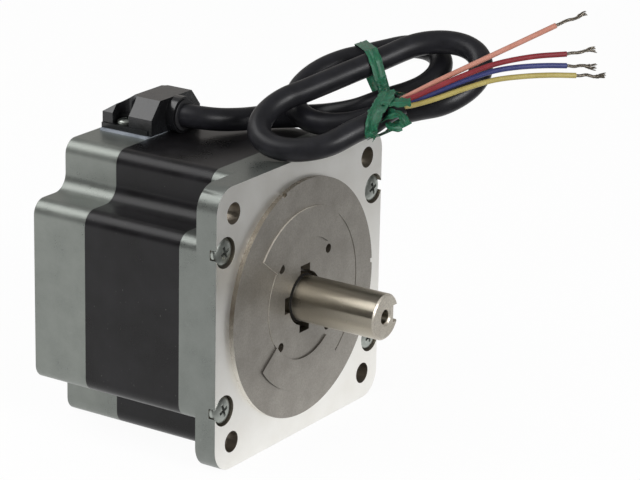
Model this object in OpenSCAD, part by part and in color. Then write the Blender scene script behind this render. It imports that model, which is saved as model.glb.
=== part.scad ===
// Hybrid stepper motor, 86 mm frame, millimetres.
// Origin: centre of the front mounting face, on the shaft axis.
// The shaft points along -Y, the rear cap lies along +Y, +Z is up.

/* [Body] */
// Width and height of the square frame
body_w = 86; // [84:1:90]
// Length from the mounting face to the back of the rear cap
body_len = 66; // [66:1:80]
// Length of the front flange behind the mounting face
front_cap_len = 13; // [13:1:16]
// Length of the lamination stack
stator_len = 34; // [34:1:40]
// Thickness of the square mounting plate
plate_t = 7; // [6:0.5:8]
// Side of the square notch left free at each corner
corner_notch = 15; // [14:0.5:15.5]
// Radius of the outer shoulders beside the notches
shoulder_r = 4.5; // [3:0.5:5]
// Radius of the hollow fillet inside each notch
notch_fillet_r = 5; // [3:0.5:6]
// Corner radius of the mounting plate
plate_corner_r = 7.5; // [5:0.5:8]

/* [Mounting] */
// Pitch of the four mounting holes
hole_pitch = 69.58; // [69:0.01:70]
// Diameter of the mounting holes
hole_d = 6.5; // [5.5:0.1:6.8]
// Diameter of the raised pilot
pilot_d = 73; // [70:0.05:73.1]
// Height of the pilot above the mounting face
pilot_h = 1.5; // [1:0.1:2]
// Diameter of the four small holes in the pilot
pilot_hole_d = 2.8; // [2:0.1:3]
// Pitch circle diameter of the small holes
pilot_hole_circle_d = 34.4; // [34:0.1:36]
// Depth of the small holes
pilot_hole_depth = 4.2; // [3:0.1:4.5]
// Height of the two cast sector pads
pad_h = 0.5; // [0.3:0.05:0.6]
// Diameter of the opening round the shaft
opening_d = 16.6; // [16.4:0.1:18]
// Width of the four slots of that opening
opening_slot_w = 5; // [4:0.5:5.5]
// Diameter across the tips of those slots
opening_slot_d = 20.8; // [20:0.2:22]

/* [Shaft] */
// Diameter of the output shaft
shaft_d = 14; // [12:0.5:14]
// Length of the shaft in front of the mounting face
shaft_out = 30; // [28:1:40]
// Width of the keyway
key_w = 5; // [4:0.5:5]
// Depth of the keyway
key_depth = 3; // [2:0.25:3]
// Length of the keyway from the shaft end
key_len = 25; // [15:1:26]
// Diameter of the tapped centre hole
centre_hole_d = 4.2; // [3.3:0.1:5]
// Depth of the tapped centre hole
centre_hole_depth = 13; // [8:1:16]
// Chamfer at the shaft end and at the centre hole
shaft_chamfer = 0.6; // [0.4:0.1:0.8]

/* [Bearings] */
// Outside diameter of the front bearing
front_bearing_d = 32; // [32:0.5:33]
// Bore of the front bearing
front_journal_d = 15; // [15:0.5:15.5]
// Width of the front bearing
front_bearing_w = 9; // [8.5:0.5:9]
// Outside diameter of the rear bearing
rear_bearing_d = 28; // [28:0.5:29]
// Bore of the rear bearing
rear_journal_d = 12; // [11.5:0.5:12]
// Width of the rear bearing
rear_bearing_w = 8; // [7.5:0.5:8]
// Diameter of the balls in both bearings
ball_d = 4.76; // [4.5:0.01:4.8]
// Running clearance of a ball in its races and cage
ball_clearance = 0.12; // [0.1:0.01:0.15]

/* [Magnets and steel] */
// Number of teeth on each pole
pole_teeth = 6; // [5:1:6]
// Diameter of the rotor stacks over the teeth
rotor_d = 47; // [46:0.5:47]
// Gap between rotor teeth and stator teeth
air_gap = 0.25; // [0.2:0.05:0.4]
// Depth of the teeth
tooth_depth = 1.2; // [1:0.1:1.4]
// Length of one rotor stack
stack_len = 15; // [14:0.5:15]
// Thickness of the axial magnet between the stacks
magnet_t = 2.6; // [2:0.1:3]
// Diameter of the slot bottoms in the stator
slot_d = 73; // [71:0.5:74]
// Width of a pole behind its shoe
pole_w = 7.5; // [7:0.5:8.5]

/* [Windings] */
// Thickness of the end insulators
insulator_t = 1.2; // [1:0.1:1.4]
// Build of a coil round its pole
coil_build = 3.6; // [3:0.2:4]

/* [Fasteners] */
// Diameter of the four tie screws
tie_screw_d = 4; // [3.5:0.5:4]
// Diameter of their pan heads
tie_head_d = 8.6; // [7.8:0.2:8.6]
// Height of their pan heads
tie_head_h = 2.2; // [2:0.1:2.6]
// Diameter of their counterbores
counterbore_d = 9.3; // [9.3:0.1:9.9]
// Depth of the head below the mounting face
head_sunk = 0.1; // [0:0.1:0.5]
// Diameter of the two hood screws
hood_screw_d = 3; // [2.5:0.5:3]
// Diameter of the hood screw heads
hood_head_d = 5.4; // [4.5:0.1:5.6]

/* [Cable] */
// Diameter of the four-core cable
cable_d = 7; // [6:0.2:7]
// Diameter of one insulated lead
lead_d = 1.6; // [1.4:0.1:1.8]
// Diameter of the tinned strand bundle at a lead's end
bare_d = 0.9; // [0.7:0.1:1]
// Width of the wire hood
hood_w = 24.4; // [23.4:0.2:25]
// Height of the wire hood above the frame
hood_h = 10.9; // [10.6:0.1:11.4]
// Thickness of the hood gasket
gasket_t = 0.8; // [0.6:0.1:1]

/* [Hidden] */
$fn = 64;
half_w = body_w / 2;
tongue_half = half_w - corner_notch;
stator_front = -front_cap_len;
stator_rear = -front_cap_len - stator_len;
body_rear = -body_len;
sunk_joint = 0.5;
fit_gap = 0.02;
running_gap = 0.3;
screw_inset_x = 4.4;
screw_inset_z = 4;
screw_x = half_w - screw_inset_x;
screw_z = tongue_half - screw_inset_z;
screw_hole_gap = 0.3;
screw_turn = 20;
counterbore_depth = head_sunk + tie_head_h;
wall_t = 5;
cavity_d = slot_d + 2;
boss_wall = 3;
front_seat_top = -3.8;
front_bearing_z = front_seat_top - front_bearing_w / 2;
rear_cavity_end = body_rear + wall_t;
wave_t = 0.4;
wave_height = 1.2;
wave_inner_inset = 4;
wave_outer_inset = 1;
wave_steps = 48;
waves = 3;
rear_seat_bottom = body_rear + wall_t;
rear_bearing_z = rear_seat_bottom + wave_height + rear_bearing_w / 2;
shoulder_d = 19;
journal_proud = 0.1;
rotor_middle = (stator_front + stator_rear) / 2;
gap_r = rotor_d / 2 + air_gap;
rotor_teeth = 50;
poles = 8;
tooth_tip_share = 0.5;
tooth_root_share = 0.6;
shoe_t = 2.4;
coil_gap = 0.2;
insulator_over = 0.5;
insulator_rim = 1;
pad_inner_r = 18.6;
pad_outer_r = 27.8;
pad_from = 52.5;
pad_to = 142.5;
groove_w = 0.5;
groove_depth = 0.2;
nick_w = 1.6;
nick_angles = [3, 108];
rear_recess_d = 40;
rear_recess_depth = 0.8;

// Bearing details as shares of the ball diameter
lip_share = 0.22;
ball_spacing_share = 1.55;
cage_low_share = -0.15;
cage_high_share = 0.55;
shield_t = 0.4;

// Pan head and recess as shares of the head's diameter and height
head_shares = [[0.5, 0], [0.5, 0.55], [0.46, 0.8], [0.36, 1]];
recess_width_share = 0.16;
recess_length_share = 0.58;
recess_floor_share = 0.5;

// hood frame, measured from the top of the rear cap
hood_front = 46;
hood_rear = 64.3;
hood_ridge = 56.3;
hood_low = 5.7;
hood_chamfer_w = 4.3;
hood_boss = 3;
hood_boss_d = 11.2;
foot_front = 47.3;
hood_foot_t = 1.6;
hood_foot_over = 0.5;
hood_bore_z = 5.4;
hood_wall = 2;
hood_hollow_w = 10;
hood_screw_x = 9.4;
hood_screw_y = 57.5;
hood_head_h = 1.6;
hood_screw_reach = 4.5;
gasket_over = 0.8;
window_w = 8;
window_from = 54;
window_to = 61;
grommet_d = 8.8;
grommet_lip = 0.5;
grommet_lip_d = 9.6;
hood_base = half_w + gasket_t;
cable_z = half_w + hood_bore_z;
cable_inside = 3.5;
inner_lead_d = 1.1;
inner_lead_offset = 1.1;
inner_lead_bend = 1.2;
inner_lead_drop = 3.6;
bend_share = 0.3;

// Cable run from inside the hood to the hank, measured from the hood's cable bore
run_points = [
    [0, cable_inside, 0], [0, 0.3, 0], [0, -4.7, 0], [1.5, -8.7, -0.3], [5.5, -12.7, -1], [11, -16.7, -1.4],
    [17.5, -20.7, -1.5], [22.8, -26.2, -1.5], [25.3, -32.7, -0.8], [26.3, -39.7, 0.8], [28, -46.2, 2.8]
];

// Hank: turned to the right front, pitched up and leaning back
hank_turn = 45;
hank_pitch = 16;
hank_lean = 26;
hank_stretch = 1.35;
hank_origin = [20, 0, half_w + 9];
// Half turns: centre along the hank, then across and layer, each where it enters and leaves
half_turns = [
    [21.5, 2.1, 21.3, -2.5, -1.7],
    [7.9, 22.7, -6.4, -1.6, 0.3],
    [27, -13.2, 11.3, 4.1, 6.5],
    [-8.6, 5.9, -19.8, 7.4, 8.9]
];
hank_end = [[-0.7, -17.9, 8.8], [6, -15.6, 7.9], [10.8, -13.8, 8.4], [15.5, -13.1, 9.3]];
lead_in_shares = [1.4, 0.7];
arc_steps = 9;
run_steps = 3;
hank_sides = 6;

// Leads: outward distance, sideways and height from the cable's end, one list per lead
lead_heading = [0.65, -0.76, 0];
orange_points = [[0, 0.9, 0.9], [4, 0.9, 2.9], [10, 0.9, 6], [22.6, 0.9, 12], [34, 0.6, 17.5],
    [45, 0.4, 22.8]];
red_points = [[0, -0.9, 0.9], [4, -0.9, 2.3], [10, -0.9, 5], [19, -0.9, 8.8], [27.5, -0.9, 11.8],
    [38, -0.9, 13.8], [48.2, -0.9, 14.5]];
blue_points = [[0, 0.9, -0.9], [4, 0.9, 0.4], [10, 0.9, 2.9], [19, 0.9, 6.5], [27.5, 0.9, 9.2],
    [34, 0.9, 10.2], [42, 0.9, 10.6], [48.8, 0.9, 10.5]];
yellow_points = [[0, -0.9, -0.9], [4, -0.9, -0.2], [10, -0.9, 1.5], [19, -0.9, 4.6], [27, -0.9, 6.9],
    [35.5, -0.9, 7.9], [43.5, -0.9, 8.2], [51.3, -0.9, 8]];
bare_out = 8.9;
bare_rise = [3.6, 1.4, -0.4, -0.3];

// Twist tie. Each loop: its place along the hank, its tilt, and the lowest and highest strand across
tie_w = 3.6;
tie_t = 0.8;
tie_gap = 0.3;
neck_w = 2.6;
upper_loop = [14, 0, 2, 30];
lower_loop = [14.7, 0.46, -30, -2];
loop_reach = 4.8;
neck_points = [[14, 5, 5], [13.8, 2, 4.3], [13.5, -1, 3.8], [13, -3.6, 4], [12, -6, 6]];
tail_points = [[12.2, -5.2, 5.4], [13, -7.8, 10.2], [14.2, -11, 14.4], [16, -15, 15.6], [18, -18.4, 14.8]];
stub_points = [[6.4, -18, 11.5], [9, -20, 12], [12.5, -22, 11.4], [15.5, -23.6, 10.4]];
band_steps = 24;
band_from = 200;
band_open = 3;

module facing_front() {
    rotate([90, 0, 0]) children();
}

module at_four(x, y) {
    for (sx = [-1, 1], sy = [-1, 1]) {
        translate([sx * x, sy * y, 0]) children();
    }
}

module slab(z_low, z_high) {
    translate([0, 0, z_low]) linear_extrude(z_high - z_low) children();
}

module rod(d, z_low, z_high) {
    translate([0, 0, z_low]) cylinder(d = d, h = z_high - z_low);
}

module rounded_rect(w, h, r) {
    square([w - 2 * r, h], center = true);
    square([w, h - 2 * r], center = true);
    at_four(w / 2 - r, h / 2 - r) circle(r);
}

// Frame outline: a cross of two rounded bars with hollow fillets in the corners
module frame_outline() {
    rounded_rect(body_w, 2 * tongue_half, shoulder_r);
    rounded_rect(2 * tongue_half, body_w, shoulder_r);
    for (a = [0:90:270]) {
        rotate(a) translate([tongue_half, tongue_half]) difference() {
            translate([-sunk_joint, -sunk_joint]) square(notch_fillet_r + sunk_joint);
            translate([notch_fillet_r, notch_fillet_r]) circle(notch_fillet_r);
        }
    }
}

module sector(r_in, r_out, from, to) {
    reach = r_out * 2;
    middle = (from + to) / 2;
    intersection() {
        difference() {
            circle(r_out);
            circle(r_in);
        }
        polygon([
            [0, 0],
            [reach * cos(from), reach * sin(from)],
            [reach * cos(middle), reach * sin(middle)],
            [reach * cos(to), reach * sin(to)]
        ]);
    }
}

// Front flange with pilot, bearing seat and end-turn cavity
module front_flange() {
    boss_d = front_bearing_d + 2 * boss_wall;
    color("lightgray") facing_front() difference() {
        union() {
            slab(-plate_t, 0) rounded_rect(body_w, body_w, plate_corner_r);
            slab(stator_front, -plate_t + sunk_joint) frame_outline();
            rod(pilot_d, -sunk_joint, pilot_h);
            for (flip = [0, 1]) {
                slab(pilot_h - sunk_joint, pilot_h + pad_h)
                    mirror([0, flip]) sector(pad_inner_r, pad_outer_r, pad_from, pad_to);
            }
        }
        slab(stator_front - sunk_joint, -wall_t) difference() {
            circle(d = cavity_d);
            circle(d = boss_d);
        }
        rod(front_bearing_d + 2 * fit_gap, stator_front - sunk_joint, front_seat_top);
        slab(front_seat_top - sunk_joint, pilot_h + sunk_joint) {
            circle(d = opening_d);
            square([opening_slot_w, opening_slot_d], center = true);
            square([opening_slot_d, opening_slot_w], center = true);
        }
        at_four(hole_pitch / 2, hole_pitch / 2) {
            rod(hole_d, -plate_t - sunk_joint, sunk_joint);
        }
        at_four(screw_x, screw_z) {
            rod(counterbore_d, -counterbore_depth, sunk_joint);
            rod(tie_screw_d + screw_hole_gap, stator_front - sunk_joint, sunk_joint);
        }
        for (a = [45:90:315]) {
            rotate(a) translate([pilot_hole_circle_d / 2, 0, 0])
                rod(pilot_hole_d, pilot_h - pilot_hole_depth, pilot_h + sunk_joint);
        }
        slab(pilot_h - groove_depth, pilot_h + sunk_joint) {
            sector(pad_inner_r, pad_inner_r + groove_w, pad_to, 360 - pad_to);
            sector(pad_outer_r - groove_w, pad_outer_r, -pad_from, pad_from);
        }
        for (a = nick_angles) {
            rotate(a) translate([pilot_d / 2, 0, 0]) slab(0, pilot_h + sunk_joint)
                square([nick_w, nick_w], center = true);
        }
    }
}

// Rear cap, closed at the back, with a wire window under the hood
module rear_cap() {
    boss_d = rear_bearing_d + 2 * boss_wall;
    color("darkgray") difference() {
        facing_front() difference() {
            slab(body_rear, stator_rear) frame_outline();
            slab(rear_cavity_end, stator_rear + sunk_joint) difference() {
                circle(d = cavity_d);
                circle(d = boss_d);
            }
            rod(boss_d + sunk_joint, rear_bearing_z + rear_bearing_w / 2, stator_rear + sunk_joint);
            rod(rear_bearing_d + 2 * fit_gap, rear_seat_bottom, stator_rear + sunk_joint);
            rod(rear_recess_d, body_rear - sunk_joint, body_rear + rear_recess_depth);
            at_four(screw_x, screw_z) {
                rod(tie_screw_d + fit_gap, body_rear - sunk_joint, stator_rear + sunk_joint);
            }
        }
        translate([-window_w / 2, window_from, 0])
            cube([window_w, window_to - window_from, half_w + sunk_joint]);
        for (side = [-1, 1]) {
            translate([side * hood_screw_x, hood_screw_y, half_w - hood_screw_reach])
                cylinder(d = hood_screw_d + fit_gap, h = 2 * hood_screw_reach);
        }
    }
}

// One stator pole: neck, shoe and its row of teeth
module pole_outline() {
    pitch = 360 / rotor_teeth;
    tooth_w = 2 * gap_r * sin(pitch / 4);
    shoe_r = gap_r + tooth_depth;
    half_span = pitch * pole_teeth / 2 - pitch / 4;
    translate([shoe_r + shoe_t / 2, -pole_w / 2]) square([slot_d / 2 - shoe_r, pole_w]);
    sector(shoe_r, shoe_r + shoe_t, -half_span, half_span);
    for (i = [0:pole_teeth - 1]) {
        rotate((i - (pole_teeth - 1) / 2) * pitch) translate([gap_r, -tooth_w / 2])
            square([tooth_depth + shoe_t / 2, tooth_w]);
    }
}

module stator_laminations() {
    color("dimgray") facing_front() slab(stator_rear, stator_front) difference() {
        union() {
            difference() {
                frame_outline();
                circle(d = slot_d);
            }
            for (k = [0:poles - 1]) {
                rotate(k * 360 / poles) pole_outline();
            }
        }
        at_four(screw_x, screw_z) circle(d = tie_screw_d + screw_hole_gap);
    }
}

// Moulded end insulator: a ring with one arm over each pole
module insulator_outline() {
    arm_from = gap_r + tooth_depth + shoe_t;
    difference() {
        circle(d = slot_d + 2 * insulator_over);
        circle(d = slot_d - 2 * insulator_rim);
    }
    for (k = [0:poles - 1]) {
        rotate(k * 360 / poles) translate([arm_from, -pole_w / 2])
            square([slot_d / 2 - arm_from, pole_w]);
    }
}

module front_insulator() {
    color("ivory") facing_front()
        slab(stator_front, stator_front + insulator_t) insulator_outline();
}

module rear_insulator() {
    color("ivory") facing_front()
        slab(stator_rear - insulator_t, stator_rear) insulator_outline();
}

// One coil: a rounded frame round the pole, wound radially
module coil() {
    inner_w = pole_w + 2 * coil_gap;
    inner_l = stator_len + 2 * insulator_t;
    coil_from = gap_r + tooth_depth + shoe_t + coil_gap;
    ring_r = slot_d / 2 - insulator_rim - coil_gap;
    coil_to = sqrt(ring_r * ring_r - pow(inner_w / 2 + coil_build, 2));
    translate([coil_from, 0, rotor_middle]) rotate([0, 90, 0]) linear_extrude(coil_to - coil_from)
        difference() {
            rounded_rect(inner_l + 2 * coil_build, inner_w + 2 * coil_build, coil_build);
            square([inner_l, inner_w], center = true);
        }
}

module phase_windings(first) {
    facing_front() for (k = [first:2:poles - 1]) {
        rotate(k * 360 / poles) coil();
    }
}

module phase_a_windings() {
    color("chocolate") phase_windings(0);
}

module phase_b_windings() {
    color("peru") phase_windings(1);
}

// Stepped shaft with an open-ended keyway and a tapped centre hole
module shaft() {
    rear_end = rear_bearing_z - rear_bearing_w / 2 - sunk_joint;
    rear_shoulder = rear_bearing_z + rear_bearing_w / 2;
    front_shoulder = front_bearing_z - front_bearing_w / 2;
    journal_end = pilot_h + journal_proud;
    rear_step = stator_rear - insulator_t;
    r = shaft_d / 2;
    c = shaft_chamfer;
    color("silver") facing_front() difference() {
        rotate_extrude() polygon([
            [0, rear_end],
            [rear_journal_d / 2 - c, rear_end],
            [rear_journal_d / 2, rear_end + c],
            [rear_journal_d / 2, rear_shoulder],
            [front_journal_d / 2, rear_shoulder],
            [front_journal_d / 2, rear_step],
            [shoulder_d / 2, rear_step],
            [shoulder_d / 2, front_shoulder],
            [front_journal_d / 2, front_shoulder],
            [front_journal_d / 2, journal_end - c],
            [r, journal_end],
            [r, shaft_out - c],
            [r - c, shaft_out],
            [0, shaft_out]
        ]);
        translate([r - key_depth, -key_w / 2, shaft_out - key_len])
            cube([key_depth * 2, key_w, key_len + c]);
        rod(centre_hole_d, shaft_out - centre_hole_depth, shaft_out + c);
        translate([0, 0, shaft_out - c])
            cylinder(d1 = centre_hole_d, d2 = centre_hole_d + 4 * c, h = 2 * c);
    }
}

// Rotor stack outline: one flank-to-flank polygon worked out tooth by tooth
module rotor_outline() {
    pitch = 360 / rotor_teeth;
    tip = rotor_d / 2;
    root = tip - tooth_depth;
    flanks = [
        [root, -tooth_root_share],
        [tip, -tooth_tip_share],
        [tip, tooth_tip_share],
        [root, tooth_root_share]
    ];
    polygon([
        for (i = [0:rotor_teeth - 1], corner = flanks)
            let (a = (i + corner[1] / 2) * pitch)
            [corner[0] * cos(a), corner[0] * sin(a)]
    ]);
}

module rotor_stack(z_low, turn) {
    color("slategray") facing_front() slab(z_low, z_low + stack_len) difference() {
        rotate(turn) rotor_outline();
        circle(d = shoulder_d);
    }
}

module front_rotor_stack() {
    rotor_stack(rotor_middle + magnet_t / 2, 0);
}

// The rear stack is turned by half a tooth
module rear_rotor_stack() {
    rotor_stack(rotor_middle - magnet_t / 2 - stack_len, 180 / rotor_teeth);
}

module rotor_magnet() {
    color("black") facing_front()
        slab(rotor_middle - magnet_t / 2, rotor_middle + magnet_t / 2) difference() {
            circle(d = rotor_d - 4 * tooth_depth);
            circle(d = shoulder_d);
        }
}

// Deep-groove ball bearing, piece by piece, centred on z = 0
function pitch_r(bore, outer) = (bore + outer) / 4;
function lip() = ball_d * lip_share;
function ball_count(bore, outer) = floor(PI * (bore + outer) / 2 / (ball_d * ball_spacing_share));

module ball_groove(bore, outer) {
    rotate_extrude() translate([pitch_r(bore, outer), 0]) circle(ball_d / 2 + ball_clearance);
}

module outer_race(bore, outer, w) {
    color("gainsboro") difference() {
        rod(outer, -w / 2, w / 2);
        rod(2 * (pitch_r(bore, outer) + lip()), -w, w);
        ball_groove(bore, outer);
    }
}

module inner_race(bore, outer, w) {
    color("gainsboro") difference() {
        rod(2 * (pitch_r(bore, outer) - lip()), -w / 2, w / 2);
        rod(bore, -w, w);
        ball_groove(bore, outer);
    }
}

module balls(bore, outer) {
    count = ball_count(bore, outer);
    color("white") for (i = [0:count - 1]) {
        rotate(i * 360 / count) translate([pitch_r(bore, outer), 0, 0]) sphere(d = ball_d);
    }
}

module cage(bore, outer) {
    count = ball_count(bore, outer);
    middle = pitch_r(bore, outer);
    half_t = lip() - running_gap;
    color("wheat") difference() {
        slab(ball_d * cage_low_share, ball_d * cage_high_share) difference() {
            circle(middle + half_t);
            circle(middle - half_t);
        }
        for (i = [0:count - 1]) {
            rotate(i * 360 / count) translate([middle, 0, 0])
                sphere(d = ball_d + 2 * ball_clearance);
        }
    }
}

module shields(bore, outer, w) {
    middle = pitch_r(bore, outer);
    color("lightgray") for (side = [-1, 1]) {
        translate([0, 0, side * (w / 2 - shield_t)]) slab(-shield_t / 2, shield_t / 2) difference() {
            circle(middle + lip());
            circle(middle - lip() + running_gap);
        }
    }
}

module at_front_bearing() {
    facing_front() translate([0, 0, front_bearing_z]) children();
}

module at_rear_bearing() {
    facing_front() translate([0, 0, rear_bearing_z]) children();
}

module front_outer_race() {
    at_front_bearing() outer_race(front_journal_d, front_bearing_d, front_bearing_w);
}

module front_inner_race() {
    at_front_bearing() inner_race(front_journal_d, front_bearing_d, front_bearing_w);
}

module front_balls() {
    at_front_bearing() balls(front_journal_d, front_bearing_d);
}

module front_cage() {
    at_front_bearing() cage(front_journal_d, front_bearing_d);
}

module front_shields() {
    at_front_bearing() shields(front_journal_d, front_bearing_d, front_bearing_w);
}

module rear_outer_race() {
    at_rear_bearing() outer_race(rear_journal_d, rear_bearing_d, rear_bearing_w);
}

module rear_inner_race() {
    at_rear_bearing() inner_race(rear_journal_d, rear_bearing_d, rear_bearing_w);
}

module rear_balls() {
    at_rear_bearing() balls(rear_journal_d, rear_bearing_d);
}

module rear_cage() {
    at_rear_bearing() cage(rear_journal_d, rear_bearing_d);
}

module rear_shields() {
    at_rear_bearing() shields(rear_journal_d, rear_bearing_d, rear_bearing_w);
}

// Wave spring that preloads the rear bearing, three waves round
module wave_washer() {
    steps = wave_steps;
    r_in = rear_bearing_d / 2 - wave_inner_inset;
    r_out = rear_bearing_d / 2 - wave_outer_inset;
    low = rear_seat_bottom;
    swing = (wave_height - wave_t) / 2;
    function ring(i) = let (a = i * 360 / steps, z = low + swing * (1 + cos(waves * a)))
        [for (p = [[r_in, z], [r_out, z], [r_out, z + wave_t], [r_in, z + wave_t]])
            [p[0] * cos(a), p[0] * sin(a), p[1]]];
    points = [for (i = [0:steps - 1]) each ring(i)];
    faces = [for (i = [0:steps - 1], k = [0:3])
        let (n = (i + 1) % steps, m = (k + 1) % 4)
        [4 * i + k, 4 * i + m, 4 * n + m, 4 * n + k]];
    color("silver") facing_front() polyhedron(points, [for (f = faces) [f[3], f[2], f[1], f[0]]], 4);
}

// Pan-head cross-recess screw, head up, seat at z = 0
module pan_screw(d, head_d, head_h, length) {
    chamfer = d / 8;
    recess_l = head_d * recess_length_share;
    recess_w = head_d * recess_width_share;
    difference() {
        rotate_extrude() polygon(concat(
            [[0, -length], [d / 2 - chamfer, -length], [d / 2, -length + chamfer], [d / 2, 0]],
            [for (p = head_shares) [p[0] * head_d, p[1] * head_h]],
            [[0, head_h]]
        ));
        for (a = [0, 90]) {
            rotate(a) translate([-recess_l / 2, -recess_w / 2, head_h * recess_floor_share])
                cube([recess_l, recess_w, head_h]);
        }
    }
}

module tie_screws() {
    seat = -head_sunk - tie_head_h;
    length = seat - body_rear - wall_t;
    color("silver") facing_front() at_four(screw_x, screw_z) {
        translate([0, 0, seat]) rotate(screw_turn) pan_screw(tie_screw_d, tie_head_d, tie_head_h, length);
    }
}

// Octagonal wire hood: front outline and side outline, intersected
module hood_solid(less) {
    w = hood_w / 2 - less;
    h = hood_h - less;
    c = hood_chamfer_w;
    low = hood_low;
    intersection() {
        translate([0, hood_rear - less, half_w]) rotate([90, 0, 0])
            linear_extrude(hood_rear - hood_front - 2 * less)
                polygon([[-w, 0], [w, 0], [w, low], [w - c, h], [-w + c, h], [-w, low]]);
        translate([-w, 0, half_w]) rotate([90, 0, 90]) linear_extrude(2 * w)
            polygon([
                [hood_front + less, 0],
                [hood_rear - less, 0],
                [hood_rear - less, low],
                [hood_ridge, h],
                [hood_front + less, h]
            ]);
    }
}

module hood_foot(z_low, z_high, grow) {
    translate([-hood_w / 2 - grow, foot_front, z_low])
        cube([hood_w + 2 * grow, hood_rear - foot_front, z_high - z_low]);
}

module cable_hood() {
    floor_z = hood_base + hood_foot_t;
    pocket = hood_head_d + 2 * running_gap;
    color("black") difference() {
        union() {
            hood_solid(0);
            hood_foot(hood_base, floor_z, hood_foot_over);
            translate([0, hood_front + sunk_joint, cable_z]) rotate([90, 0, 0])
                cylinder(d = hood_boss_d, h = hood_boss + sunk_joint);
        }
        translate([-half_w, hood_front - hood_wall, 0])
            cube([body_w, hood_rear - hood_front + 2 * hood_wall, hood_base]);
        intersection() {
            hood_solid(hood_wall);
            translate([-hood_hollow_w / 2, hood_front, half_w])
                cube([hood_hollow_w, hood_rear - hood_front, hood_h]);
        }
        translate([0, hood_front + 2 * hood_wall, cable_z]) rotate([90, 0, 0])
            cylinder(d = grommet_d, h = 3 * hood_wall + hood_boss);
        for (side = [-1, 1]) {
            translate([side * hood_screw_x, hood_screw_y, hood_base - sunk_joint])
                cylinder(d = hood_screw_d + screw_hole_gap, h = hood_h);
            translate([side * hood_screw_x, hood_screw_y, floor_z])
                cylinder(d = pocket, h = hood_h);
            translate([side * (hood_screw_x + pocket) - pocket, hood_screw_y - pocket / 2, floor_z])
                cube([2 * pocket, pocket, hood_h]);
        }
    }
}

module hood_gasket() {
    color("dimgray") difference() {
        hood_foot(half_w, hood_base, hood_foot_over + gasket_over);
        translate([-window_w / 2, window_from, 0])
            cube([window_w, window_to - window_from, body_w]);
        for (side = [-1, 1]) {
            translate([side * hood_screw_x, hood_screw_y, 0])
                cylinder(d = hood_screw_d + screw_hole_gap, h = body_w);
        }
    }
}

module hood_screws() {
    seat = hood_base + hood_foot_t;
    color("silver") for (side = [-1, 1]) {
        translate([side * hood_screw_x, hood_screw_y, seat])
            pan_screw(hood_screw_d, hood_head_d, hood_head_h, hood_foot_t + gasket_t + hood_screw_d);
    }
}

// Rubber bushing that grips the cable in the hood's front wall
module cable_grommet() {
    lip_at = hood_wall + hood_boss;
    color("black") translate([0, hood_front + hood_wall, cable_z]) rotate([90, 0, 0]) difference() {
        union() {
            rod(grommet_d, 0, lip_at);
            rod(grommet_lip_d, lip_at, lip_at + grommet_lip);
        }
        rod(cable_d, -sunk_joint, lip_at + 2 * grommet_lip);
    }
}

// Tube swept along points, its rings turned square to the path
function unit(v) = v / norm(v);
function heading(p, i) = unit(p[min(i + 1, len(p) - 1)] - p[max(i - 1, 0)]);

module tube(points, d, sides, up) {
    last = len(points) - 1;
    rings = [for (i = [0:last], k = [0:sides - 1])
        let (t = heading(points, i), u = unit(cross(up, t)), v = cross(t, u), a = k * 360 / sides)
        points[i] + d / 2 * (cos(a) * u + sin(a) * v)];
    walls = [for (i = [0:last - 1], k = [0:sides - 1])
        let (n = (k + 1) % sides)
        [i * sides + k, i * sides + n, (i + 1) * sides + n, (i + 1) * sides + k]];
    start_cap = [[for (k = [sides - 1:-1:0]) k]];
    end_cap = [[for (k = [0:sides - 1]) last * sides + k]];
    polyhedron(rings, [for (f = concat(walls, start_cap, end_cap)) [for (k = [len(f) - 1:-1:0]) f[k]]], 4);
}

// Axes of the hank: along it, across it, and out of its plane
hank_flat = [sin(hank_turn), cos(hank_turn), 0];
hank_along = [cos(hank_turn) * cos(hank_pitch), -sin(hank_turn) * cos(hank_pitch), sin(hank_pitch)];
hank_up = cross(hank_along, hank_flat);
hank_across = cos(hank_lean) * hank_flat + sin(hank_lean) * hank_up;
hank_out = cross(hank_along, hank_across);

function in_hank(p) = hank_origin + p[0] * hank_along + p[1] * hank_across + p[2] * hank_out;

// One half turn and the run to the next, as [along, across, out] points
function half_turn(i) = let (
    h = half_turns[i],
    side = i % 2 == 0 ? 1 : -1,
    r = (h[2] - h[1]) / 2,
    mid = (h[1] + h[2]) / 2)
    [for (k = [0:arc_steps]) let (a = k * 180 / arc_steps - 90)
        [h[0] + side * hank_stretch * abs(r) * cos(a), mid + r * sin(a),
            h[3] + (h[4] - h[3]) * k / arc_steps]];

function hank_run(i) = let (from = half_turn(i)[arc_steps], to = half_turn(i + 1)[0])
    [for (k = [1:run_steps - 1]) from + (to - from) * k / run_steps];

hank_lead_in = [for (back = lead_in_shares) half_turn(0)[0] - [back * cable_d, 0, 0]];
hank_last = len(half_turns) - 1;
hank_local = concat(
    hank_lead_in,
    [for (i = [0:hank_last]) each concat(half_turn(i), i < hank_last ? hank_run(i) : [])],
    hank_end);
hank_path = [for (p = hank_local) in_hank(p)];
cable_path = concat(
    [for (p = run_points) [p[0], hood_front + p[1], cable_z + p[2]]],
    [hank_path[0]]);

cable_end = hank_path[len(hank_path) - 1];
lead_side = cross([0, 0, 1], lead_heading);

function lead_path(points) =
    [for (p = points) cable_end + p[0] * lead_heading + p[1] * lead_side + [0, 0, p[2]]];

function bare_path(points, rise) = let (
    tip = lead_path(points)[len(points) - 1],
    step = bare_out * lead_heading + [0, 0, rise])
    [tip, tip + step / 2, tip + step];

function nearest(p, skip) = let (last = len(p) - 1)
    min([for (i = [0:last], j = [0:last]) if (j - i > skip) norm(p[i] - p[j])]);
echo(least_gap_in_hank = nearest(hank_path, 5) - cable_d);

module cable_run() {
    color("black") tube(cable_path, cable_d, 10, [0, 0, 1]);
}

module cable_hank() {
    color("black") tube(hank_path, cable_d, hank_sides, hank_out);
}

module lead_orange() {
    color("salmon") tube(lead_path(orange_points), lead_d, 8, [0, 0, 1]);
}

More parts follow.
